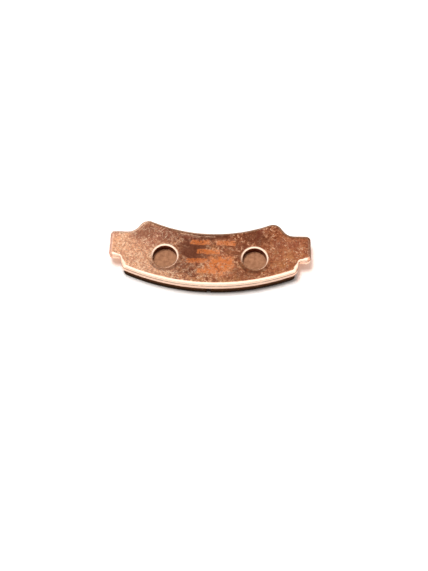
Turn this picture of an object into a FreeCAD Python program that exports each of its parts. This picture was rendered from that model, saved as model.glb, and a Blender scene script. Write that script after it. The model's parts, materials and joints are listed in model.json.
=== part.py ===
import FreeCAD, Part
import os
import Sketcher
from FreeCAD import Vector

# Disc brake pad, lying on its wear face. Millimetres, +Z up.
# X runs along the pad and +Y from the convex outer edge to the concave inner edge.
# Both pieces are drawn about the line through the hole centres, then placed about the pad's middle.

SIZES = {
    # plan of the backing plate
    "overall_length": 105.0,
    "inner_radius": 77.7,
    "inner_edge_rise": 14.65,
    "outer_radius": 111.5,
    "outer_edge_drop": 16.2,
    "tab_top_rise": 14.7,
    "tab_height": 14.9,
    "tab_top_length": 12.2,
    "tab_bottom_length": 6.3,
    "shoulder_run": 5.7,
    "side_lean": 0.8,
    "hole_line_offset": 2.62,
    # rounded corners of the plan
    "peak_radius": 5.2,
    "shoulder_radius": 6.6,
    "tab_flat_corner_radius": 0.4,
    "notch_radius": 1.5,
    "body_corner_radius": 3.4,
    # section of the backing plate
    "plate_thickness": 4.0,
    "edge_roll_radius": 2.0,
    "notch_roll_radius": 0.8,
    "side_roll_radius": 2.6,
    "hole_diameter": 12.4,
    "hole_spacing": 46.6,
    "hole_rim_radius": 0.9,
    # friction lining
    "lining_thickness": 5.2,
    "lining_inner_inset": 1.2,
    "lining_outer_inset": 0.2,
    "lining_end_inset": 0.8,
    "lining_corner_radius": 2.4,
    "lining_edge_chamfer": 0.3,
    "groove_width": 2.0,
    "groove_web": 0.8,
}

# numbers that a sketch gives to the places on a line or arc, and to its own axes
START, END, CENTRE = range(1, 4)
X_AXIS, Y_AXIS = range(-1, -3, -1)
ORIGIN = (X_AXIS, START)

FLAT_TOLERANCE = 1e-4

doc = FreeCAD.newDocument("DiscBrakePad")
sheet = doc.addObject("Spreadsheet::Sheet", "Sizes")
for row, (alias, value) in enumerate(SIZES.items(), start=1):
    sheet.set(f"A{row}", alias)
    sheet.set(f"B{row}", str(value))
    sheet.setAlias(f"B{row}", alias)
doc.recompute()


def size(alias):
    return float(sheet.get(alias))


def new_body(label):
    body = doc.addObject("PartDesign::Body", label)
    body.Label = label
    return body


def new_sketch(body, name):
    plane = next(feature for feature in body.Origin.OriginFeatures if feature.Role == "XY_Plane")
    sketch = body.newObject("Sketcher::SketchObject", name)
    sketch.AttachmentSupport = [(plane, "")]
    sketch.MapMode = "FlatFace"
    return sketch


def dimension(sketch, name, expression, kind, *places):
    """Adds one driving dimension and ties it to the sheet."""
    index = sketch.addConstraint(Sketcher.Constraint(kind, *places, sketch.evalExpression(expression)))
    sketch.renameConstraint(index, name)
    sketch.setExpression(f"Constraints.{name}", expression)


def add_chain(sketch, points):
    """Adds lines that join the points in order, and returns their numbers."""
    lines = [sketch.addGeometry(Part.LineSegment(a, b)) for a, b in zip(points, points[1:])]
    for before, after in zip(lines, lines[1:]):
        sketch.addConstraint(Sketcher.Constraint("Coincident", before, END, after, START))
    return lines


def add_arc(sketch, end, middle_y):
    """Adds an arc over the Y axis, from the mirror image of its end, through its middle, to its end."""
    start = Vector(-end.x, end.y, 0)
    return sketch.addGeometry(Part.Arc(start, Vector(0, middle_y, 0), end))


def mirrored_outline(sketch, points, inner_middle, outer_middle):
    """Closes a chain of points at +X and its mirror image at -X with an inner and an outer arc."""
    right = add_chain(sketch, points)
    left = add_chain(sketch, [Vector(-p.x, p.y, 0) for p in points])
    inner = add_arc(sketch, points[0], inner_middle)
    outer = add_arc(sketch, points[-1], outer_middle)
    for arc, number, place in ((inner, 0, START), (outer, -1, END)):
        sketch.addConstraint(Sketcher.Constraint("Coincident", arc, END, right[number], place))
        sketch.addConstraint(Sketcher.Constraint("Coincident", arc, START, left[number], place))
    for left_line, right_line in zip(left, right):
        sketch.addConstraint(Sketcher.Constraint("Symmetric", left_line, START, right_line, START, Y_AXIS))
    sketch.addConstraint(Sketcher.Constraint("Symmetric", left[-1], END, right[-1], END, Y_AXIS))
    return left, right, inner, outer


def pad(body, sketch, name, thickness):
    feature = body.newObject("PartDesign::Pad", name)
    feature.Profile = sketch
    feature.setExpression("Length", f"Sizes.{thickness}")
    doc.recompute()
    return feature


def pocket_up(body, sketch, name, depth):
    """Cuts the sketch upwards from the body's lower face, and checks that something was cut."""
    before = body.Shape.Volume
    feature = body.newObject("PartDesign::Pocket", name)
    feature.Profile = sketch
    feature.Reversed = True
    feature.setExpression("Length", depth)
    doc.recompute()
    if not body.Shape.Volume < before:
        raise RuntimeError(f"{name} cuts nothing")
    return feature


def fillet(body, name, edges, radius):
    """Rounds the given edges of the body's newest feature."""
    base = body.Tip
    feature = body.newObject("PartDesign::Fillet", name)
    feature.Base = (base, edge_names(edges))
    feature.setExpression("Radius", radius)
    doc.recompute()
    return feature


def chamfer(body, name, edges, width):
    """Breaks the given edges of the body's newest feature."""
    base = body.Tip
    feature = body.newObject("PartDesign::Chamfer", name)
    feature.Base = (base, edge_names(edges))
    feature.setExpression("Size", width)
    doc.recompute()
    return feature


def edge_names(numbers):
    return [f"Edge{number}" for number in numbers]


def edge_numbers(shape, wanted):
    return [number for number, edge in enumerate(shape.Edges, start=1) if wanted(edge)]


def upright_edges(shape, corner):
    """Numbers the two upright edges at a corner of the plan and at its mirror image."""
    def wanted(edge):
        low, high = edge.BoundBox.getPoint(0), edge.BoundBox.getPoint(6)
        offset = Vector(abs(edge.CenterOfMass.x) - corner.x, edge.CenterOfMass.y - corner.y, 0)
        flat_span = Vector(high.x - low.x, high.y - low.y, 0)
        return offset.Length < FLAT_TOLERANCE and flat_span.Length < FLAT_TOLERANCE
    return edge_numbers(shape, wanted)


def flat_face(shape, height):
    """The flat face that lies level at a height."""
    def wanted(face):
        return face.BoundBox.ZLength < FLAT_TOLERANCE and abs(face.BoundBox.ZMin - height) < FLAT_TOLERANCE
    return next(face for face in shape.Faces if wanted(face))


def rim_edges(shape, height, outer):
    """Numbers the edges round the flat face at a height: its outline, or its holes."""
    face = flat_face(shape, height)
    wires = [wire for wire in face.Wires if wire.isSame(face.OuterWire) == outer]
    rims = [edge for wire in wires for edge in wire.Edges]
    return edge_numbers(shape, lambda edge: any(edge.isSame(rim) for rim in rims))


# places on the plate's plan at +X, worked out along it from the tab's end
TAB_END = "Sizes.overall_length / 2"
SHOULDER_FOOT = f"{TAB_END} - Sizes.tab_top_length"
PEAK = f"{SHOULDER_FOOT} - Sizes.shoulder_run"
NOTCH = f"{TAB_END} - Sizes.tab_bottom_length"
LOWER_CORNER = f"{NOTCH} - Sizes.side_lean"
LINING_END = f"{LOWER_CORNER} - Sizes.lining_end_inset"

# heights on the plan, measured from the line through the hole centres
INNER_CENTRE = "Sizes.inner_edge_rise + Sizes.inner_radius"
OUTER_CENTRE = "Sizes.outer_radius - Sizes.outer_edge_drop"
PEAK_RISE = f"{INNER_CENTRE} - sqrt(Sizes.inner_radius^2 - ({PEAK})^2)"
TAB_TOP = "Sizes.tab_top_rise"
TAB_BOTTOM = "Sizes.tab_top_rise - Sizes.tab_height"
LOWER_CORNER_RISE = f"{OUTER_CENTRE} - sqrt(Sizes.outer_radius^2 - ({LOWER_CORNER})^2)"


def plan_point(x, y):
    return Vector(sheet.evalExpression(x), sheet.evalExpression(y), 0)


# corners of the plate's plan at +X, before rounding, and the middles of its two arcs
peak = plan_point(PEAK, PEAK_RISE)
shoulder_foot = plan_point(SHOULDER_FOOT, TAB_TOP)
tab_top = plan_point(TAB_END, TAB_TOP)
tab_bottom = plan_point(TAB_END, TAB_BOTTOM)
notch = plan_point(NOTCH, TAB_BOTTOM)
lower_corner = plan_point(LOWER_CORNER, LOWER_CORNER_RISE)
inner_middle = size("inner_edge_rise")
outer_middle = -size("outer_edge_drop")


def draw_plate_outline(body):
    sketch = new_sketch(body, "PlateOutline")
    corners = [peak, shoulder_foot, tab_top, tab_bottom, notch, lower_corner]
    left, right, inner, outer = mirrored_outline(sketch, corners, inner_middle, outer_middle)
    shoulder, top, end, bottom, side = range(5)
    sketch.addConstraint(Sketcher.Constraint("Horizontal", right[top]))
    sketch.addConstraint(Sketcher.Constraint("Vertical", right[end]))
    sketch.addConstraint(Sketcher.Constraint("Horizontal", right[bottom]))
    dimension(sketch, "inner_radius", "Sizes.inner_radius", "Radius", inner)
    dimension(sketch, "outer_radius", "Sizes.outer_radius", "Radius", outer)
    dimension(sketch, "inner_centre", INNER_CENTRE, "DistanceY", *ORIGIN, inner, CENTRE)
    dimension(sketch, "outer_centre", OUTER_CENTRE, "DistanceY", *ORIGIN, outer, CENTRE)
    tab_ends = (left[end], END, right[end], END)
    dimension(sketch, "overall_length", "Sizes.overall_length", "DistanceX", *tab_ends)
    for alias, line, first, second in (
        ("tab_top_length", top, START, END),
        ("tab_bottom_length", bottom, END, START),
        ("shoulder_run", shoulder, START, END),
        ("side_lean", side, END, START),
    ):
        dimension(sketch, alias, f"Sizes.{alias}", "DistanceX", right[line], first, right[line], second)
    dimension(sketch, "tab_top_rise", "Sizes.tab_top_rise", "DistanceY", *ORIGIN, right[end], START)
    dimension(sketch, "tab_height", "Sizes.tab_height", "DistanceY", right[end], END, right[end], START)
    return sketch


def draw_holes(body):
    sketch = new_sketch(body, "HoleCircles")
    hole_centre = Vector(size("hole_spacing") / 2, 0, 0)
    circles = [
        sketch.addGeometry(Part.Circle(side * hole_centre, Vector(0, 0, 1), size("hole_diameter") / 2))
        for side in (-1, 1)
    ]
    left, right = circles
    sketch.addConstraint(Sketcher.Constraint("Symmetric", left, CENTRE, right, CENTRE, *ORIGIN))
    sketch.addConstraint(Sketcher.Constraint("PointOnObject", right, CENTRE, X_AXIS))
    sketch.addConstraint(Sketcher.Constraint("Equal", left, right))
    dimension(sketch, "hole_spacing", "Sizes.hole_spacing", "DistanceX", left, CENTRE, right, CENTRE)
    dimension(sketch, "hole_diameter", "Sizes.hole_diameter", "Diameter", right)
    return sketch


def make_plate_blank():
    """The punched plate, with its plan's corners and the rims of its holes rounded."""
    body = new_body("plate_blank")
    pad(body, draw_plate_outline(body), "PlateStock", "plate_thickness")
    pocket_up(body, draw_holes(body), "Holes", "Sizes.plate_thickness")
    tab_corner_radius = "Sizes.edge_roll_radius + Sizes.tab_flat_corner_radius"
    for name, corner, radius in (
        ("PeakRounds", peak, "Sizes.peak_radius"),
        ("ShoulderRounds", shoulder_foot, "Sizes.shoulder_radius"),
        ("TabTopRounds", tab_top, tab_corner_radius),
        ("TabBottomRounds", tab_bottom, tab_corner_radius),
        ("NotchRounds", notch, "Sizes.notch_radius"),
        ("BodyCornerRounds", lower_corner, "Sizes.body_corner_radius"),
    ):
        fillet(body, name, upright_edges(body.Shape, corner), radius)
    hole_rims = rim_edges(body.Shape, size("plate_thickness"), outer=False)
    fillet(body, "HoleRims", hole_rims, "Sizes.hole_rim_radius")
    body.setExpression("Placement.Base.y", "-Sizes.hole_line_offset")
    body.setExpression("Placement.Base.z", "Sizes.lining_thickness")
    doc.recompute()
    return body


def roll_radius(vertex):
    """The radius of the rolled edge at a point of the plan: small in a notch, large at the side below it."""
    place = Vector(abs(vertex.X), vertex.Y + size("hole_line_offset"), 0)
    if (place - notch).Length < size("notch_radius"):
        return size("notch_roll_radius")
    if place.distanceToLine(notch, lower_corner - notch) < FLAT_TOLERANCE:
        return size("side_roll_radius")
    return size("edge_roll_radius")


def outline_rolls(shape, height):
    """Numbers the outline's edges in the order of a walk round it, with the roll's radius at both ends.

    The walk goes the way that its first edge runs, because that edge sets the way for all the rest."""
    outline = flat_face(shape, height).OuterWire
    edges = outline.OrderedEdges
    radii = [roll_radius(vertex) for vertex in outline.OrderedVertexes]
    ends = list(zip(radii, radii[1:] + radii[:1]))
    if not edges[0].firstVertex().isSame(outline.OrderedVertexes[0]):
        ends = [(last, first) for first, last in ends]
    numbers = [edge_numbers(shape, edge.isSame)[0] for edge in edges]
    return [(number, first, last) for number, (first, last) in zip(numbers, ends)]


def make_backing_plate():
    """Stamped steel plate with end tabs, two holes and edges rolled over on its back face."""
    blank = make_plate_blank()
    upper_face = size("lining_thickness") + size("plate_thickness")
    plate = doc.addObject("Part::Fillet", "backing_plate")
    plate.Label = "backing_plate"
    plate.Base = blank
    plate.Edges = outline_rolls(blank.Shape, upper_face)
    return plate


def draw_lining_outline(body):
    """Follows the plate's plan between the tabs, inset along each edge. Returns its corners at +X too."""
    sketch = new_sketch(body, "LiningOutline")
    inset = size("lining_inner_inset")
    end_x = sheet.evalExpression(LINING_END)
    slope = (shoulder_foot - peak).normalize()
    shoulder_start = peak + inset * Vector(slope.y, -slope.x, 0)
    shoulder_end = shoulder_start + (end_x - shoulder_start.x) / slope.x * slope
    corners = [shoulder_start, shoulder_end, Vector(end_x, lower_corner.y, 0)]
    left, right, inner, outer = mirrored_outline(sketch, corners, inner_middle - inset, outer_middle)
    shoulder, end = range(2)
    plate_shoulder = sketch.addGeometry(Part.LineSegment(peak, shoulder_foot), True)
    for name, place, x, y in (("peak", START, PEAK, PEAK_RISE), ("foot", END, SHOULDER_FOOT, TAB_TOP)):
        dimension(sketch, f"{name}_x", x, "DistanceX", *ORIGIN, plate_shoulder, place)
        dimension(sketch, f"{name}_y", y, "DistanceY", *ORIGIN, plate_shoulder, place)
    sketch.addConstraint(Sketcher.Constraint("Parallel", right[shoulder], plate_shoulder))
    sketch.addConstraint(Sketcher.Constraint("Vertical", right[end]))
    shoulder_places = (plate_shoulder, START, right[shoulder])
    dimension(sketch, "shoulder_inset", "Sizes.lining_inner_inset", "Distance", *shoulder_places)
    dimension(sketch, "end_x", LINING_END, "DistanceX", *ORIGIN, right[end], END)
    dimension(sketch, "inner_centre", INNER_CENTRE, "DistanceY", *ORIGIN, inner, CENTRE)
    dimension(sketch, "outer_centre", OUTER_CENTRE, "DistanceY", *ORIGIN, outer, CENTRE)
    dimension(sketch, "inner_radius", "Sizes.inner_radius + Sizes.lining_inner_inset", "Radius", inner)
    dimension(sketch, "outer_radius", "Sizes.outer_radius - Sizes.lining_outer_inset", "Radius", outer)
    sketch.solve()
    places = ((right[shoulder], START), (right[end], START), (right[end], END))
    return sketch, [sketch.getPoint(line, place) for line, place in places]


def draw_groove(body):
    sketch = new_sketch(body, "GrooveSlot")
    half_width = size("groove_width") / 2
    corners = [
        Vector(half_width, inner_middle, 0),
        Vector(half_width, outer_middle, 0),
        Vector(-half_width, outer_middle, 0),
        Vector(-half_width, inner_middle, 0),
    ]
    right, lower, left, upper = add_chain(sketch, corners + corners[:1])
    sketch.addConstraint(Sketcher.Constraint("Coincident", upper, END, right, START))
    sketch.addConstraint(Sketcher.Constraint("Symmetric", upper, START, upper, END, Y_AXIS))
    sketch.addConstraint(Sketcher.Constraint("Symmetric", lower, START, lower, END, Y_AXIS))
    sketch.addConstraint(Sketcher.Constraint("Vertical", right))
    dimension(sketch, "groove_width", "Sizes.groove_width", "DistanceX", upper, START, upper, END)
    dimension(sketch, "inner_end", "Sizes.inner_edge_rise", "DistanceY", *ORIGIN, right, START)
    dimension(sketch, "outer_end", "-Sizes.outer_edge_drop", "DistanceY", *ORIGIN, right, END)
    return sketch


def make_friction_lining():
    """Sintered block under the plate, with a groove sawn across the middle of its wear face."""
    body = new_body("friction_lining")
    outline, corners = draw_lining_outline(body)
    pad(body, outline, "LiningBlock", "lining_thickness")
    lining_peak, shoulder_end, lower_end = corners
    for name, corner, radius in (
        ("LiningPeakRounds", lining_peak, "Sizes.peak_radius - Sizes.lining_inner_inset"),
        ("LiningShoulderRounds", shoulder_end, "Sizes.lining_corner_radius"),
        ("LiningEndRounds", lower_end, "Sizes.lining_corner_radius"),
    ):
        fillet(body, name, upright_edges(body.Shape, corner), radius)
    chamfer(body, "WearFaceEdge", rim_edges(body.Shape, 0, outer=True), "Sizes.lining_edge_chamfer")
    pocket_up(body, draw_groove(body), "Groove", "Sizes.lining_thickness - Sizes.groove_web")
    body.setExpression("Placement.Base.y", "-Sizes.hole_line_offset")
    return body


pieces = [make_backing_plate(), make_friction_lining()]
doc.recompute()

failed = [item.Name for item in doc.Objects if {"Invalid", "Error"} & set(item.State)]
if failed:
    raise RuntimeError(f"failed objects: {failed}")
for piece in pieces:
    if piece.Shape.isNull() or not piece.Shape.isValid():
        raise RuntimeError(f"{piece.Label} has no valid shape")

os.makedirs("parts", exist_ok=True)
for piece in pieces:
    piece.Shape.exportStep(f"parts/{piece.Label}.step")
    box = piece.Shape.BoundBox
    print(piece.Label, [round(length, 3) for length in (box.XLength, box.YLength, box.ZLength)])
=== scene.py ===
"""A copper-plated disc brake pad on a white studio floor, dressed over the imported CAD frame."""
import json
import math

import bpy
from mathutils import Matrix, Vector, noise


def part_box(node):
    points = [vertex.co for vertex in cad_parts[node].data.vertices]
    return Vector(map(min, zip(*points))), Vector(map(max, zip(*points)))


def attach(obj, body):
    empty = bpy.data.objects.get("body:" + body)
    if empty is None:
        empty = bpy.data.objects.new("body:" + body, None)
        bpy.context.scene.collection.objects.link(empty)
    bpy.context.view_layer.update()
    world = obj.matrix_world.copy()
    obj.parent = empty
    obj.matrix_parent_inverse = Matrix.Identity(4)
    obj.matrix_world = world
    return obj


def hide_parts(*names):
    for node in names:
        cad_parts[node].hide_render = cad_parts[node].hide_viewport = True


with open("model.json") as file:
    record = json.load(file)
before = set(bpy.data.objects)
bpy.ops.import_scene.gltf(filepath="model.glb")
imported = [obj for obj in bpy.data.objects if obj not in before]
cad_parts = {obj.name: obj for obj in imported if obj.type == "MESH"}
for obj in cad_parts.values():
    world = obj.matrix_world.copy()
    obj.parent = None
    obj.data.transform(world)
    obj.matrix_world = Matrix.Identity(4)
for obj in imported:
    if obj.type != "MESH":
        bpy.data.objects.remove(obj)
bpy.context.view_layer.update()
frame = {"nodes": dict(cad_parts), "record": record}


def rgb(red, green, blue):
    """A colour written as 0 to 255 display values, made linear."""
    linear = []
    for value in (red, green, blue):
        share = value / 255.0
        linear.append(share / 12.92 if share <= 0.04045 else ((share + 0.055) / 1.055) ** 2.4)
    return (*linear, 1.0)


MM = 0.001
PLATE = "backing_plate"
LINING = "friction_lining"

# Camera, in metres and degrees, with focal length and picture size in pixels and sensor in millimetres
CAMERA_TARGET = Vector((0.00268, -0.0145, 0.0004))
CAMERA_DISTANCE = 0.5201
CAMERA_ELEVATION = 63.0
CAMERA_AZIMUTH = 2.013
CAMERA_NEAR = 0.01
CAMERA_FAR = 50.0
FOCAL_PIXELS = 1000.6
IMAGE_LONG_SIDE = 571
SENSOR = 36.0

# The pad's own measures, in millimetres; the inner arc is its concave edge, the outer its convex one
FACE_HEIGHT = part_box(PLATE)[1].z / MM
BOND_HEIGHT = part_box(LINING)[1].z / MM
HOLES = [mount for mount in frame["record"]["mounts"] if mount["kind"] == "bore"]
HOLE_ROW = HOLES[0]["pos_m"][1] / MM
INNER_ARC_CENTRE = (0.0, 89.73, 0.0)
INNER_ARC_RADIUS = 77.7
OUTER_ARC_CENTRE = (0.0, 92.68, 0.0)
OUTER_ARC_RADIUS = 111.5

# Soft changes across the plate: where each starts and where it is complete, in millimetres
LEFT_TO_RIGHT = (-20.0, 20.0)
NEAR_TO_FAR = (-4.0, 12.0)
GLARE_FADE = (-38.0, -10.0)
SCRATCH_FADE = (-24.0, -8.0)
LINING_END = (42.0, 46.0)
LEFT_END = (-50.5, -49.5)
RIGHT_END = (49.5, 50.5)

# How surfaces face: the upward share of their direction, or for the ends the share along x
FACE_UP = (0.97, 0.995)
ROLLED_UP = (0.1, 0.4)
RIM_UP = (0.3, 0.6)
WALL_UP = (0.1, 0.5)
BACK_UP = (0.6, 0.8)
BONDED_UP = 0.5
FACING_LEFT = (-0.3, -0.1)
FACING_RIGHT = (0.1, 0.3)

# How far a surface tilts where the clean edge starts and is complete, and how much that wavers
EDGE_TILT = (0.022, 0.05)
EDGE_WAVER = 0.03

# The plate's sides, in millimetres below the back face, where a dark line and a darker low side are
# painted reflections
DARK_LINE_DEPTH = 1.65
DARK_LINE_HALF = 0.25
LOW_SIDE = (1.85, 2.4)

# Marks round the holes, in millimetres outward from the wall or, for the halves, along y from the middle
RIM_EDGE = (0.8, 1.3)
WALL_EDGE = (0.05, 0.45)
CRESCENT_REACH = 1.8
CRESCENT_HALF = 0.5
FAR_HALF = (-4.0, 1.0)
NEAR_HALF = (-5.0, -1.0)

# Where a spot starts to fade and where it ends, as shares of its radii
SPOT_FADE = (0.45, 1.2)

# Stains on the back face: middle, radii in millimetres, and strength
STAINS = (
    ((-9.0, 1.0), (9.5, 9.0), 0.95),
    ((0.0, 9.6), (11.0, 2.6), 0.8),
    ((24.0, 9.5), (9.0, 5.0), 0.6),
    ((-35.0, 12.0), (9.0, 6.0), 0.6),
    ((22.0, -13.0), (12.0, 4.0), 0.2),
    ((52.0, 5.6), (3.6, 10.0), 0.3),
    ((20.5, -10.5), (8.0, 3.4), 0.35),
    ((16.5, 1.0), (5.0, 9.0), 0.35),
    ((-18.5, 9.5), (12.0, 5.5), 0.5),
    ((-12.0, -8.5), (8.0, 6.0), 0.45),
)

# A pale spot of painted glare and a redder place on the back face: middle and radii in millimetres
GLARE_SPOT = ((-29.0, -10.0), (13.0, 7.0))
ROSY_SPOT = ((-29.0, 9.0), (14.0, 8.0))

# Sets of scratches: angle in degrees, length and width in millimetres, and the share that shows
SCRATCHES = (
    (24.0, 4.0, 0.4, 0.3),
    (-38.0, 3.5, 0.35, 0.28),
    (81.0, 3.0, 0.35, 0.28),
)

# Scuffs along the concave edge: distance from it, half width, middle in x, half length, and strength
SCUFFS = (
    (2.6, 0.12, -6.0, 7.0, 0.8),
    (3.4, 0.08, -9.0, 5.0, 0.5),
)

# Rows of worn ink bars: ends along x and middle in y, in millimetres, and how much ink is left
INK_ROWS = (
    (-10.6, 0.2, 6.0, 0.7),
    (2.6, 13.6, 6.0, 0.65),
    (-7.4, 5.6, 0.6, 0.75),
    (-12.6, -0.8, -4.8, 0.7),
    (0.6, 12.2, -4.8, 0.8),
    (-6.6, 4.0, -10.8, 0.75),
)
INK_HEIGHT = 3.5
INK_WAVER_PITCH = 3.0
INK_WAVER_WIDTH = 1.2
INK_SMUDGE = ((5.5, -7.2), (8.5, 7.0))

# Shifts in millimetres that make patterns of the same kind differ from each other
PALE_SHIFT = (40.0, 7.0, 0.0)
ROSY_SHIFT = (-15.0, 60.0, 0.0)
RED_SHIFT = (17.0, -29.0, 3.0)
FLECK_SHIFT = (9.0, 31.0, 0.0)
GAP_SHIFT = (-23.0, 11.0, 5.0)

# The lining's grains and pores, in millimetres, apart from the reach, which is a share of the pitch
GRAIN_VOXEL = 0.3
GRAIN_SIZE = 1.1
GRAIN_DEPTH = 0.07
PORE_PITCH = 1.9
PORE_REACH = 0.3
PORE_DEPTH = 0.2

# The grain's fall-off, gap between layers and number of layers
GRAIN_FRACTAL = (0.8, 2.0, 3)

# Each pore's draw is from -1 to 1: the step between draws, and the draw above which a pore is open
PORE_STEP = 13.7
OPEN_ABOVE = 0.5

# Colours of the back face
COPPER_LOW_LEFT = rgb(146, 70, 46)
COPPER_LOW_RIGHT = rgb(164, 92, 62)
COPPER_HIGH_LEFT = rgb(255, 190, 146)
COPPER_HIGH_RIGHT = rgb(228, 158, 118)
GOLDEN_CLOUD = rgb(230, 168, 114)
ROSY_CLOUD = rgb(172, 100, 84)
DARK_DOT = rgb(98, 50, 34)
PAINTED_GLINT_DOT = rgb(255, 218, 188)
RED_STROKE = rgb(134, 62, 38)
PAINTED_GLINT_STROKE = rgb(255, 216, 182)
PAINTED_GLARE = rgb(247, 189, 151)
ROSY_PLACE = rgb(168, 92, 74)
STAIN = rgb(133, 79, 59)
SCRATCH = rgb(255, 220, 188)
PAINTED_FLECK_GLINT = rgb(240, 186, 148)
INK = rgb(211, 110, 31)

# Colours of the plate's edges and holes
CLEAN_DARK = rgb(238, 201, 177)
CLEAN_PALE = rgb(250, 219, 196)
PAINTED_SIDE_SHADE = rgb(196, 160, 138)
PAINTED_DARK_LINE = rgb(140, 110, 93)
END_SHADE = rgb(188, 138, 116)
PAINTED_RIM_HIGHLIGHT = rgb(252, 222, 198)
HOLE_WALL_SHADE = rgb(92, 40, 20)
HOLE_WEAR = rgb(104, 60, 42)

# Colours of the sinter: its sides near the wear face, darkened as painted shade, its sides near the plate,
# and its back
SHADED_LOW_DARK = rgb(24, 10, 2)
SHADED_LOW_PALE = rgb(52, 32, 12)
UPPER_DARK = rgb(72, 36, 15)
UPPER_PALE = rgb(128, 76, 40)
FLAKE = rgb(150, 98, 62)
BACK_DARK = rgb(160, 111, 82)
BACK_PALE = rgb(192, 140, 106)
SMEAR = rgb(104, 74, 62)

# Colours of the studio
WHITE = (1.0, 1.0, 1.0, 1.0)
WARM_LIGHT = (1.0, 0.9, 0.84, 1.0)
PALE_FLOOR = (0.95, 0.95, 0.95, 1.0)
# Painted shade for the floor under the groove
PAINTED_GROOVE_SHADE = rgb(112, 84, 68)
# Painted bounce light from the copper, for the glow beside the pad
PAINTED_BOUNCE_GLOW = (1.0, 0.54, 0.36, 1.0)
FRONT_GLOW = (0.83, 0.77, 0.73, 1.0)
DARK_CARD = (0.325, 0.23, 0.17, 1.0)
LEFT_CARD = (0.7, 0.58, 0.5, 1.0)
MID_CARD = (0.55, 0.42, 0.32, 1.0)
PALE_CARD = (0.9, 0.72, 0.62, 1.0)

# The floor's radius in metres, and places on it in millimetres
FLOOR_RADIUS = 6.0
FLOOR_FAR = (120.0, 500.0)
BEHIND_PAD = (40.0, 60.0)
BESIDE_LINING = (44.0, 47.0)
BESIDE_GROOVE = (1.0, 1.3)
GROOVE_MIDDLE = -4.0
GROOVE_HALF = 13.4
CONTACT_MIDDLE = -4.5
CONTACT_HALF = 4.0
CONTACT_SKEW = -0.012

# The lamp that lights and never shows, and those that only reflections show: place, aim, width and height
# in metres, and radiance
KEY_LAMP = ((-0.34, 0.31, 1.8), (0.0, 0.0, 0.0), (0.6, 0.5), 26.5)
MIRRORED_LAMPS = {
    "front_ceiling": ((0.0, -0.875, 1.8), (0.0, -0.875, 0.0), (3.4, 1.55), 0.85),
    "front_softbox": ((0.0, -1.65, 1.3), (0.0, 0.0, 1.3), (5.0, 1.0), 0.5),
    "left_softbox": ((-1.65, 0.0, 1.5), (0.0, 0.0, 1.5), (3.2, 2.9), 0.5),
    "right_softbox": ((1.5, -0.375, 0.92), (0.0, -0.375, 0.92), (2.45, 1.76), 0.65),
    "back_left_softbox": ((-0.75, 0.95, 1.3), (-0.75, 0.0, 1.3), (1.1, 2.4), 0.25),
}

# Limits of the boards, in metres: all of them, the pad's far edges that they start from, and their splits
CARDS_LEFT = -1.2
CARDS_RIGHT = 1.4
CARDS_BACK = 0.8
CARDS_TOP = 2.4
CARD_LIFT = 0.001
BEHIND_PEAKS = 0.0192
BEHIND_TAB = 0.0145
TAB_NEAR = 0.001
RIGHT_SHOULDER = 0.046
RIGHT_TAB = 0.0535
LEFT_SPLIT = -0.12
MID_SPLIT = 0.1
PALE_SPLIT = 0.134
LOW_TOP = 1.2
LEFT_TOP = 0.45
SIDE_FRONT = 0.67
SIDE_TOP = 0.65

# Upright boards behind the pad: left, right, low and high limits, and colour
UPRIGHT_CARDS = {
    "back_left_card": (CARDS_LEFT, LEFT_SPLIT, 0.0, LEFT_TOP, LEFT_CARD),
    "low_card": (LEFT_SPLIT, CARDS_RIGHT, 0.0, LOW_TOP, DARK_CARD),
    "middle_card": (LEFT_SPLIT, MID_SPLIT, LOW_TOP, CARDS_TOP, DARK_CARD),
    "right_card": (MID_SPLIT, PALE_SPLIT, LOW_TOP, CARDS_TOP, MID_CARD),
    "far_right_card": (PALE_SPLIT, CARDS_RIGHT, LOW_TOP, CARDS_TOP, PALE_CARD),
}

# Boards on the floor beyond the pad: left, right, near and far limits, and colour
FLOOR_CARDS = {
    "left_floor_card": (CARDS_LEFT, 0.0, BEHIND_PEAKS, CARDS_BACK, LEFT_CARD),
    "floor_card": (0.0, CARDS_RIGHT, BEHIND_PEAKS, CARDS_BACK, DARK_CARD),
    "shoulder_card": (RIGHT_SHOULDER, CARDS_RIGHT, BEHIND_TAB, BEHIND_PEAKS, DARK_CARD),
    "tab_card": (RIGHT_TAB, CARDS_RIGHT, TAB_NEAR, BEHIND_TAB, DARK_CARD),
}

# Mix node sockets for colours
MIX_A, MIX_B, MIX_RESULT = 6, 7, 2


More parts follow.
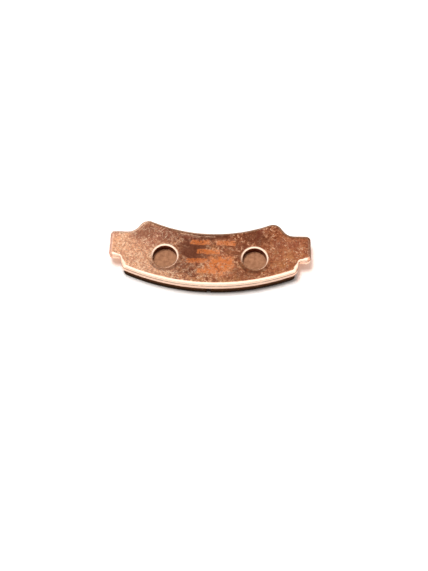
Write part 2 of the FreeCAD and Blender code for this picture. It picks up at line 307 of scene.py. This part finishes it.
class Graph:
    """Adds nodes to one node tree. Values may be numbers, colours or other nodes' outputs."""

    def __init__(self, tree):
        self.tree = tree
        tree.nodes.clear()

    def put(self, socket, value):
        if isinstance(value, bpy.types.NodeSocket):
            self.tree.links.new(value, socket)
        else:
            socket.default_value = value

    def add(self, kind, inputs=None, **settings):
        node = self.tree.nodes.new("ShaderNode" + kind)
        for name, value in settings.items():
            setattr(node, name, value)
        for key, value in (inputs or {}).items():
            self.put(node.inputs[key], value)
        return node

    def math(self, operation, *values):
        node = self.add("Math", dict(enumerate(values)), operation=operation)
        return node.outputs[0]

    def product(self, *values):
        result = values[0]
        for value in values[1:]:
            result = self.math("MULTIPLY", result, value)
        return result

    def largest(self, *values):
        result = values[0]
        for value in values[1:]:
            result = self.math("MAXIMUM", result, value)
        return result

    def blend(self, *parts):
        """The sum of (value, share) pairs."""
        result = 0.0
        for value, share in parts:
            result = self.math("MULTIPLY_ADD", value, share, result)
        return result

    def inverse(self, value):
        return self.math("SUBTRACT", 1.0, value)

    def centred(self, value, width):
        """A value from 0 to 1, spread evenly over a width about 0."""
        return self.math("MULTIPLY_ADD", value, width, -0.5 * width)

    def vector(self, operation, *values, output="Vector"):
        node = self.add("VectorMath", dict(enumerate(values)), operation=operation)
        return node.outputs[output]

    def scaled(self, vector, factor):
        node = self.add("VectorMath", {"Vector": vector, "Scale": factor}, operation="SCALE")
        return node.outputs["Vector"]

    def parts(self, vector):
        return self.add("SeparateXYZ", {0: vector}).outputs

    def smooth(self, value, low, high):
        """0 below low, 1 above high, and a soft step between them."""
        node = self.add("MapRange", {"Value": value, "From Min": low, "From Max": high})
        node.interpolation_type = "SMOOTHSTEP"
        return node.outputs["Result"]

    def span(self, value, low, high):
        """A value from 0 to 1, spread evenly from low to high."""
        node = self.add("MapRange", {"Value": value, "To Min": low, "To Max": high})
        return node.outputs["Result"]

    def band(self, value, middle, half, soft):
        """1 within half of the middle, and 0 beyond half and soft."""
        away = self.math("ABSOLUTE", self.math("SUBTRACT", value, middle))
        return self.inverse(self.smooth(away, half, half + soft))

    def noise(self, vector, feature, detail=2.0, roughness=0.5, distortion=0.0):
        """Cloudy noise whose largest forms are about feature wide, in the vector's units."""
        inputs = {
            "Vector": vector,
            "Scale": 1.0 / feature,
            "Detail": detail,
            "Roughness": roughness,
            "Distortion": distortion,
        }
        return self.add("TexNoise", inputs).outputs["Fac"]

    def dots(self, vector, pitch, radius, share):
        """Round dots, one at most in each cell of the given pitch; share is how many cells have one."""
        node = self.add("TexVoronoi", {"Vector": vector, "Scale": 1.0 / pitch})
        chance = self.parts(node.outputs["Color"])[0]
        shown = self.smooth(chance, 1.0 - share, 1.05 - share)
        edge = radius / pitch
        return self.product(self.inverse(self.smooth(node.outputs["Distance"], 0.5 * edge, edge)), shown)

    def flat_distance(self, point, centre):
        """Distance from a centre line that runs along z."""
        offset = self.vector("SUBTRACT", point, centre)
        return self.vector("LENGTH", self.vector("MULTIPLY", offset, (1.0, 1.0, 0.0)), output="Value")

    def mix(self, factor, first, second):
        """The first colour where the factor is 0, and the second where it is 1."""
        node = self.add("Mix", data_type="RGBA")
        self.put(node.inputs[0], factor)
        self.put(node.inputs[MIX_A], first)
        self.put(node.inputs[MIX_B], second)
        return node.outputs[MIX_RESULT]

    def millimetres(self):
        """The surface point in the part's frame, in millimetres."""
        point = self.add("TexCoord").outputs["Object"]
        return self.scaled(point, 1.0 / MM)

    def normal(self):
        """The surface direction in the part's frame, as x, y and z."""
        return self.parts(self.add("TexCoord").outputs["Normal"])

    def bump(self, height):
        """Surface relief from a height in millimetres."""
        return self.add("Bump", {"Height": height, "Strength": 1.0, "Distance": MM}).outputs[0]

    def surface(self, shader):
        output = self.add("OutputMaterial")
        self.put(output.inputs["Surface"], shader.outputs[0])


def new_graph(name):
    material = bpy.data.materials.new(name)
    material.use_nodes = True
    return material, Graph(material.node_tree)


def spot(graph, point, centre, radii, ragged):
    """A soft stain: 1 in its middle and 0 outside, with a ragged outline."""
    offset = graph.vector("SUBTRACT", point, (*centre, 0.0))
    flat = graph.vector("MULTIPLY", offset, (1.0 / radii[0], 1.0 / radii[1], 0.0))
    reach = graph.vector("LENGTH", flat, output="Value")
    return graph.inverse(graph.smooth(graph.math("ADD", reach, ragged), *SPOT_FADE))


def scratches(graph, point, angle, length, width, share):
    """Thin straight scratches at an angle in degrees; share is how many of them show."""
    turned = graph.add("VectorRotate", {"Vector": point, "Angle": math.radians(angle)}).outputs[0]
    stretched = graph.vector("DIVIDE", turned, (length, width, length))
    line = graph.noise(stretched, 1.0, detail=0.0)
    return graph.smooth(line, 1.0 - share, 1.06 - share)


def strokes(graph, point, feature, width):
    """Short wriggling strokes: the broken contour lines of a noise."""
    line = graph.band(graph.noise(point, feature, detail=1.0), 0.5, half=0.5 * width, soft=width)
    shown = graph.noise(graph.vector("ADD", point, GAP_SHIFT), 1.2 * feature)
    return graph.product(line, graph.smooth(shown, 0.5, 0.62))


def hole_reach(graph, point):
    """How far a point lies outside the wall of the nearer hole, in millimetres."""
    reaches = []
    for hole in HOLES:
        centre = [value / MM for value in hole["pos_m"]]
        reaches.append(graph.math("SUBTRACT", graph.flat_distance(point, centre), hole["dims"]["r_mm"]))
    return graph.math("MINIMUM", *reaches)


def plating_colour(graph, point):
    """Speckled copper: clouds, mottle, grain, dark dots, red strokes and painted glints, paler to the left
    as painted glare.
    """
    x, y, _ = graph.parts(point)
    towards_left = graph.inverse(graph.smooth(x, *LEFT_TO_RIGHT))
    towards_near = graph.inverse(graph.smooth(y, *NEAR_TO_FAR))
    elsewhere = graph.vector("ADD", point, PALE_SHIFT)

    cloud = graph.noise(point, 24.0)
    mottle = graph.noise(point, 3.0, detail=3.0, roughness=0.6, distortion=0.4)
    grain = graph.noise(point, 0.95, roughness=0.7)
    tone = graph.smooth(graph.blend((cloud, 0.3), (mottle, 0.6), (grain, 1.2)), 0.74, 1.36)
    # Painted glare: the light copper tone is paler on the left part of the face, which mirrors a brighter
    # surround.
    low = graph.mix(towards_left, COPPER_LOW_RIGHT, COPPER_LOW_LEFT)
    high = graph.mix(towards_left, COPPER_HIGH_RIGHT, COPPER_HIGH_LEFT)
    colour = graph.mix(tone, low, high)

    golden = graph.smooth(graph.noise(elsewhere, 4.0, detail=3.0), 0.46, 0.64)
    colour = graph.mix(graph.product(golden, towards_near, 0.45), colour, GOLDEN_CLOUD)
    rosy = graph.smooth(graph.noise(graph.vector("ADD", point, ROSY_SHIFT), 7.0), 0.48, 0.64)
    colour = graph.mix(graph.product(rosy, graph.span(towards_near, 0.65, 0.2)), colour, ROSY_CLOUD)

    dark = graph.dots(point, pitch=1.5, radius=0.55, share=0.35)
    colour = graph.mix(graph.product(dark, graph.span(towards_left, 0.3, 0.4)), colour, DARK_DOT)
    # Painted glints: light dots and bright strokes, mostly on the left.
    pale = graph.dots(elsewhere, pitch=1.3, radius=0.45, share=0.3)
    colour = graph.mix(graph.product(pale, graph.span(towards_left, 0.4, 1.0)), colour, PAINTED_GLINT_DOT)
    red = strokes(graph, graph.vector("ADD", point, RED_SHIFT), feature=1.8, width=0.12)
    colour = graph.mix(graph.product(red, graph.span(towards_left, 0.0, 0.8)), colour, RED_STROKE)
    bright = strokes(graph, elsewhere, feature=1.4, width=0.07)
    return graph.mix(graph.product(bright, graph.span(towards_left, 0.4, 1.0)), colour, PAINTED_GLINT_STROKE)


def stain_mask(graph, point, ragged):
    masks = []
    for centre, radii, strength in STAINS:
        masks.append(graph.product(spot(graph, point, centre, radii, ragged), strength))
    return graph.largest(*masks)


def aged_plating(graph, point, rub):
    """The plating with painted glare at its left end and in a pale spot, its rosy and stained places;
    returns its colour and the stains' mask.
    """
    ragged = graph.centred(rub, 0.8)
    colour = plating_colour(graph, point)
    # Painted glare: paler at the left end and in one spot.
    left_end = graph.inverse(graph.smooth(graph.parts(point)[0], *GLARE_FADE))
    glare_spot = spot(graph, point, *GLARE_SPOT, ragged)
    pale = graph.largest(graph.product(left_end, 0.38), graph.product(glare_spot, 0.5))
    colour = graph.mix(pale, colour, PAINTED_GLARE)
    rosy = spot(graph, point, *ROSY_SPOT, ragged)
    colour = graph.mix(graph.product(rosy, 0.35), colour, ROSY_PLACE)
    stain = stain_mask(graph, point, ragged)
    return graph.mix(stain, colour, STAIN), stain


def scratch_mask(graph, point):
    """Crossing scratches on the left part of the face."""
    lines = graph.largest(*[scratches(graph, point, *setting) for setting in SCRATCHES])
    return graph.product(lines, graph.inverse(graph.smooth(graph.parts(point)[0], *SCRATCH_FADE)))


def scuff_mask(graph, point):
    """Thin bright lines rubbed along the concave edge."""
    x = graph.parts(point)[0]
    wavering = graph.centred(graph.noise(point, 6.0, detail=1.0), 0.5)
    reach = graph.math("ADD", graph.flat_distance(point, INNER_ARC_CENTRE), wavering)
    inset = graph.math("SUBTRACT", reach, INNER_ARC_RADIUS)
    lines = []
    for distance, half_width, middle, half_length, strength in SCUFFS:
        across = graph.band(inset, distance, half_width, soft=0.2)
        along = graph.band(x, middle, half_length, soft=3.0)
        lines.append(graph.product(across, along, strength))
    return graph.product(graph.largest(*lines), graph.smooth(graph.noise(point, 5.0), 0.3, 0.5))


def fleck_glint_mask(graph, point, stain):
    """Clusters of raised specks, fainter on the stains; their pale colour is a painted glint."""
    aside = graph.vector("ADD", point, FLECK_SHIFT)
    clusters = graph.smooth(graph.noise(aside, 5.0), 0.42, 0.6)
    lines = strokes(graph, aside, feature=1.5, width=0.06)
    grains = graph.dots(aside, pitch=1.7, radius=0.45, share=0.25)
    return graph.product(graph.largest(lines, grains), clusters, graph.span(stain, 1.0, 0.2))


def ink_mask(graph, point):
    """Worn rows of plain bars and one smudge, with the plating showing through."""
    waver = graph.add("TexNoise", {"Vector": point, "Scale": 1.0 / INK_WAVER_PITCH, "Detail": 1.0})
    shift = graph.vector("SUBTRACT", waver.outputs["Color"], (0.5, 0.5, 0.5))
    x, y, _ = graph.parts(graph.vector("ADD", point, graph.scaled(shift, INK_WAVER_WIDTH)))
    worn = graph.noise(point, 0.8, detail=3.0, roughness=0.7)
    masks = []
    for start, end, row, left in INK_ROWS:
        along = graph.band(x, (start + end) / 2, (end - start) / 2 - 1.0, soft=1.6)
        across = graph.band(y, row, INK_HEIGHT / 2 - 0.9, soft=1.3)
        bar = graph.product(along, across)
        kept = graph.smooth(graph.blend((worn, 1.0), (bar, 0.25)), 0.55, 0.8)
        masks.append(graph.product(bar, kept, left))
    ragged = graph.centred(graph.noise(point, 4.0, detail=3.0), 1.2)
    smudge = graph.product(spot(graph, point, *INK_SMUDGE, ragged), graph.smooth(worn, 0.35, 0.6), 0.85)
    return graph.largest(smudge, *masks)


def clean_edge(graph, point, rub):
    """The clean rolled edge and the sides: their colour with painted reflections, and a mask of where they
    are.
    """
    x, _, height = graph.parts(point)
    sideways, _, upright = graph.normal()
    colour = graph.mix(graph.noise(point, 2.0, detail=3.0), CLEAN_DARK, CLEAN_PALE)

    below_face = graph.math("SUBTRACT", FACE_HEIGHT, height)
    above_lining = graph.inverse(graph.smooth(graph.math("ABSOLUTE", x), *LINING_END))
    # Painted reflection: the low side above the lining is darker, where it mirrors the dark lining and its
    # shaded floor.
    low_side = graph.product(graph.smooth(below_face, *LOW_SIDE), above_lining, 0.45)
    colour = graph.mix(low_side, colour, PAINTED_SIDE_SHADE)
    # Painted reflection: a dark line along the sides, broken by the rub noise, for a dark object mirrored
    # in front of the pad.
    dark_line = graph.band(below_face, DARK_LINE_DEPTH, DARK_LINE_HALF, soft=0.2)
    colour = graph.mix(graph.product(dark_line, graph.smooth(rub, 0.2, 0.5), 0.9), colour, PAINTED_DARK_LINE)
    left_end = graph.inverse(graph.smooth(x, *LEFT_END))
    facing_left = graph.inverse(graph.smooth(sideways, *FACING_LEFT))
    colour = graph.mix(graph.product(left_end, facing_left, 0.8), colour, END_SHADE)

    tilt = graph.inverse(graph.math("ABSOLUTE", upright))
    tilted = graph.smooth(graph.math("MULTIPLY_ADD", rub, EDGE_WAVER, tilt), *EDGE_TILT)
    # Painted reflection: at the rolled right end the clean edge mostly gives way to the darker face
    # colour, as it mirrors shaded floor.
    rolled = graph.smooth(upright, *ROLLED_UP)
    facing_right = graph.smooth(sideways, *FACING_RIGHT)
    right_end = graph.product(graph.smooth(x, *RIGHT_END), facing_right, rolled)
    return colour, graph.product(tilted, graph.inverse(graph.product(right_end, 0.7)))


def with_holes(graph, point, rub, colour):
    """A colour with each hole's pale far rim as painted highlight, its wall darkened as painted shade, and
    a worn crescent; returns the rims' mask too.
    """
    upright = graph.normal()[2]
    reach = hole_reach(graph, point)
    beyond = graph.math("SUBTRACT", graph.parts(point)[1], HOLE_ROW)
    # Painted highlight: a pale rim on the far half of each hole.
    rim = graph.product(
        graph.inverse(graph.smooth(reach, *RIM_EDGE)),
        graph.smooth(upright, *RIM_UP),
        graph.smooth(beyond, *FAR_HALF),
    )
    colour = graph.mix(graph.product(rim, 0.65), colour, PAINTED_RIM_HIGHLIGHT)
    # Painted shade: the hole walls are darkened.
    steep = graph.inverse(graph.smooth(upright, *WALL_UP))
    wall = graph.product(graph.inverse(graph.smooth(reach, *WALL_EDGE)), steep)
    colour = graph.mix(wall, colour, HOLE_WALL_SHADE)
    ring = graph.band(reach, CRESCENT_REACH, CRESCENT_HALF, soft=0.6)
    near_half = graph.inverse(graph.smooth(beyond, *NEAR_HALF))
    crescent = graph.product(ring, near_half, graph.smooth(rub, 0.3, 0.5), 0.6)
    return graph.mix(crescent, colour, HOLE_WEAR), rim


def copper_material():
    """Worn copper plating: an aged back face with bars of ink and painted glints and glare, clean rolled
    edges and painted shade on the hole walls.
    """
    material, graph = new_graph("worn_copper_plating")
    point = graph.millimetres()
    facing_up = graph.smooth(graph.normal()[2], *FACE_UP)
    rub = graph.noise(point, 3.0, detail=3.0)

    face, stain = aged_plating(graph, point, rub)
    scuffs = scuff_mask(graph, point)
    lines = graph.largest(scratch_mask(graph, point), scuffs)
    face = graph.mix(graph.product(lines, 0.7), face, SCRATCH)
    # Raised specks, painted light as glints.
    fleck_glints = graph.product(fleck_glint_mask(graph, point, stain), facing_up)
    face = graph.mix(fleck_glints, face, PAINTED_FLECK_GLINT)
    ink = graph.product(ink_mask(graph, point), facing_up)
    face = graph.mix(ink, face, INK)
    clean, edge = clean_edge(graph, point, rub)
    colour, rim = with_holes(graph, point, rub, graph.mix(edge, face, clean))

    relief = graph.blend(
        (graph.noise(point, 0.8), 0.02),
        (graph.noise(point, 2.6), 0.03),
        (graph.dots(point, pitch=1.5, radius=0.5, share=0.4), -0.03),
        (lines, -0.006),
        (fleck_glints, 0.03),
        (ink, 0.01),
    )
    matt = graph.largest(ink, graph.product(fleck_glints, 0.45), graph.product(scuffs, 0.5))
    roughness = graph.blend((graph.span(rub, 0.12, 0.3), 1.0), (rim, 0.2), (ink, 0.25))
    shader = graph.add(
        "BsdfPrincipled",
        {
            "Base Color": colour,
            "Metallic": graph.inverse(matt),
            "Roughness": roughness,
            "Normal": graph.bump(relief),
        },
    )
    graph.surface(shader)
    return material


def lining_material():
    """Matt sinter: dark brown sides, blacker towards the wear face as painted shade, and a tan back inside
    the holes.
    """
    material, graph = new_graph("sintered_lining")
    point = graph.millimetres()
    height = graph.parts(point)[2]
    upright = graph.normal()[2]
    grain = graph.noise(point, 1.0, detail=4.0, roughness=0.65)

    # Painted shade: the sides darken towards the wear face, where they meet the floor.
    worn = graph.mix(grain, SHADED_LOW_DARK, SHADED_LOW_PALE)
    upper = graph.mix(grain, UPPER_DARK, UPPER_PALE)
    side = graph.mix(graph.smooth(height, 0.3 * BOND_HEIGHT, BOND_HEIGHT), worn, upper)
    flakes = graph.dots(point, pitch=1.2, radius=0.3, share=0.25)
    side = graph.mix(graph.product(flakes, 0.6), side, FLAKE)

    mottle = graph.smooth(graph.noise(point, 1.6, detail=4.0, roughness=0.65), 0.3, 0.7)
    back = graph.mix(mottle, BACK_DARK, BACK_PALE)
    smears = graph.dots(point, pitch=3.4, radius=1.3, share=0.4)
    back = graph.mix(graph.product(smears, graph.smooth(grain, 0.4, 0.6), 0.15), back, SMEAR)
    shader = graph.add(
        "BsdfPrincipled",
        {
            "Base Color": graph.mix(graph.smooth(upright, *BACK_UP), side, back),
            "Roughness": 0.8,
            "Specular IOR Level": 0.05,
            "Normal": graph.bump(graph.product(grain, 0.1)),
        },
    )
    graph.surface(shader)
    return material


def pore_depth(point):
    """Depth of a pore at a point of the lining, in millimetres; about a quarter of the pores are open."""
    distances, centres = noise.voronoi(point / PORE_PITCH)
    if noise.cell(centres[0] * PORE_STEP) < OPEN_ABOVE:
        return 0.0
    return PORE_DEPTH * max(0.0, 1.0 - distances[0] / PORE_REACH)


def roughen(mesh, low, high):
    """Sinks the sides and the wear face by the sinter's grain, and keeps the bonded back flat."""
    normals = [Vector(item.vector) for item in mesh.vertex_normals]
    places = []
    for vertex, normal in zip(mesh.vertices, normals):
        point = vertex.co / MM
        grain = 0.5 + 0.5 * noise.fractal(point / GRAIN_SIZE, *GRAIN_FRACTAL)
        depth = min(1.0, max(0.0, grain)) * GRAIN_DEPTH + pore_depth(point)
        if normal.z > BONDED_UP:
            depth = 0.0
        moved = vertex.co - normal * depth * MM
        places.extend(min(max(value, a), b) for value, a, b in zip(moved, low, high))
    mesh.vertices.foreach_set("co", places)
    mesh.update()


def make_lining():
    """The sintered block, fine enough for grains and pores, in the place of its plain solid."""
    low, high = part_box(LINING)
    block = bpy.data.objects.new("sintered_block", frame["nodes"][LINING].data.copy())
    bpy.context.scene.collection.objects.link(block)
    remesh = block.modifiers.new("grain", "REMESH")
    remesh.mode = "VOXEL"
    remesh.voxel_size = GRAIN_VOXEL * MM
    wrap = block.modifiers.new("edges", "SHRINKWRAP")
    wrap.target = frame["nodes"][LINING]
    fine = block.evaluated_get(bpy.context.evaluated_depsgraph_get())
    mesh = bpy.data.meshes.new_from_object(fine)
    block.modifiers.clear()
    block.data = mesh
    roughen(mesh, low, high)
    mesh.shade_smooth()
    mesh.materials.clear()
    mesh.materials.append(lining_material())
    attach(block, "root")
    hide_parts(LINING)


def seen_directly(graph):
    """1 for rays that should see a white studio: from the camera or off a mirror or glass."""
    path = graph.add("LightPath")
    rays = [path.outputs[name] for name in ("Is Camera Ray", "Is Glossy Ray", "Is Transmission Ray")]
    return graph.largest(*rays)


def make_floor():
    """A pale floor that takes shadows, with a glow that makes it white where it is seen directly.

    The glow is warm beside the pad as painted bounce light from the copper, greyer in front of it, and off
    under its near edge.
    The strip under the lining's groove is painted shade: dark and with no glow, or the groove would show a
    white floor."""
    bpy.ops.mesh.primitive_circle_add(vertices=96, radius=FLOOR_RADIUS, fill_type="NGON")
    floor = bpy.context.object
    floor.name = "studio_floor"
    material, graph = new_graph("white_floor")
    point = graph.millimetres()
    x, y, _ = graph.parts(point)
    from_middle = graph.math("ABSOLUTE", x)

    near_side = graph.inverse(graph.smooth(y, *BEHIND_PAD))
    in_front = graph.product(graph.inverse(graph.smooth(from_middle, *BESIDE_LINING)), near_side)
    outside = graph.math("SUBTRACT", graph.flat_distance(point, OUTER_ARC_CENTRE), OUTER_ARC_RADIUS)
    skewed = graph.math("MULTIPLY_ADD", x, CONTACT_SKEW, outside)
    contact = graph.product(graph.band(skewed, CONTACT_MIDDLE, CONTACT_HALF, soft=1.2), in_front)
    # Painted shade: the floor under the groove is dark and keeps no glow.
    along_groove = graph.band(y, GROOVE_MIDDLE, GROOVE_HALF, soft=1.1)
    in_groove = graph.product(graph.inverse(graph.smooth(from_middle, *BESIDE_GROOVE)), along_groove)
    diffuse = graph.add("BsdfDiffuse", {"Color": graph.mix(in_groove, PALE_FLOOR, PAINTED_GROOVE_SHADE)})

    far = graph.smooth(graph.vector("LENGTH", point, output="Value"), *FLOOR_FAR)
    # Painted bounce light: the glow is pink beside the pad, where the copper would throw warm light on the
    # floor.
    near_glow = graph.mix(in_front, PAINTED_BOUNCE_GLOW, FRONT_GLOW)
    lit = graph.inverse(graph.largest(contact, in_groove))
    strength = graph.product(seen_directly(graph), lit, graph.span(far, 0.36, 1.0))
    glow = graph.add("Emission", {"Color": graph.mix(far, near_glow, WHITE), "Strength": strength})
    both = graph.add("AddShader", {0: diffuse.outputs[0], 1: glow.outputs[0]})
    graph.surface(both)
    floor.data.materials.append(material)


def make_world():
    """A warm dim light all round, white where it is seen directly."""
    world = bpy.data.worlds.new("studio")
    bpy.context.scene.world = world
    world.use_nodes = True
    graph = Graph(world.node_tree)
    direct = seen_directly(graph)
    colour = graph.mix(direct, WARM_LIGHT, WHITE)
    background = graph.add("Background", {"Color": colour, "Strength": graph.span(direct, 0.4, 1.0)})
    output = graph.add("OutputWorld")
    graph.put(output.inputs["Surface"], background.outputs[0])


def make_softbox(name, place, aim, size, radiance, key=True, mirrored=True):
    """A rectangular lamp at a place, facing aim; radiance is what a mirror would show of it.

    A lamp that is not key only shows in reflections, and one that is not mirrored never does."""
    width, height = size
    lamp = bpy.data.lights.new(name, "AREA")
    lamp.shape = "RECTANGLE"
    lamp.size = width
    lamp.size_y = height
    lamp.energy = radiance * math.pi * width * height
    holder = bpy.data.objects.new(name, lamp)
    bpy.context.scene.collection.objects.link(holder)
    holder.location = place
    holder.rotation_mode = "QUATERNION"
    holder.rotation_quaternion = (Vector(aim) - Vector(place)).to_track_quat("-Z", "Y")
    holder.visible_diffuse = key
    holder.visible_glossy = mirrored


def make_lamps():
    """One key lamp that lights and never shows, and the lamps that only reflections show."""
    make_softbox("key", *KEY_LAMP, mirrored=False)
    for name, setting in MIRRORED_LAMPS.items():
        make_softbox(name, *setting, key=False)


def make_card(name, corners, colour):
    """A coloured board beside the pad that only the metal's reflections show."""
    mesh = bpy.data.meshes.new(name)
    mesh.from_pydata(corners, [], [range(len(corners))])
    card = bpy.data.objects.new(name, mesh)
    bpy.context.scene.collection.objects.link(card)
    material, graph = new_graph(name)
    graph.surface(graph.add("Emission", {"Color": colour, "Strength": 1.0}))
    mesh.materials.append(material)
    card.visible_camera = False
    card.visible_diffuse = False
    card.visible_shadow = False


def make_cards():
    """The boards behind the pad, on the floor beyond it and at its right."""
    for name, (left, right, low, high, colour) in UPRIGHT_CARDS.items():
        outline = ((left, low), (right, low), (right, high), (left, high))
        make_card(name, [(x, CARDS_BACK, z) for x, z in outline], colour)
    for name, (left, right, near, far, colour) in FLOOR_CARDS.items():
        outline = ((left, near), (right, near), (right, far), (left, far))
        make_card(name, [(x, y, CARD_LIFT) for x, y in outline], colour)
    outline = ((CARDS_BACK, 0.0), (SIDE_FRONT, 0.0), (SIDE_FRONT, SIDE_TOP), (CARDS_BACK, SIDE_TOP))
    make_card("side_card", [(CARDS_RIGHT, y, z) for y, z in outline], DARK_CARD)


def make_camera():
    """A camera that looks down on the pad from the near side."""
    camera = bpy.data.cameras.new("photo_camera")
    camera.sensor_width = SENSOR
    camera.lens = SENSOR * FOCAL_PIXELS / IMAGE_LONG_SIDE
    camera.clip_start = CAMERA_NEAR
    camera.clip_end = CAMERA_FAR
    holder = bpy.data.objects.new("photo_camera", camera)
    bpy.context.scene.collection.objects.link(holder)
    azimuth = math.radians(CAMERA_AZIMUTH)
    elevation = math.radians(CAMERA_ELEVATION)
    back = Vector((
        math.sin(azimuth) * math.cos(elevation),
        -math.cos(azimuth) * math.cos(elevation),
        math.sin(elevation),
    ))
    holder.location = CAMERA_TARGET + back * CAMERA_DISTANCE
    holder.rotation_mode = "QUATERNION"
    holder.rotation_quaternion = (-back).to_track_quat("-Z", "Y")
    bpy.context.scene.camera = holder


bpy.context.scene.view_settings.view_transform = "Standard"
frame["nodes"][PLATE].data.materials[0] = copper_material()
make_lining()
make_floor()
make_world()
make_lamps()
make_cards()
make_camera()
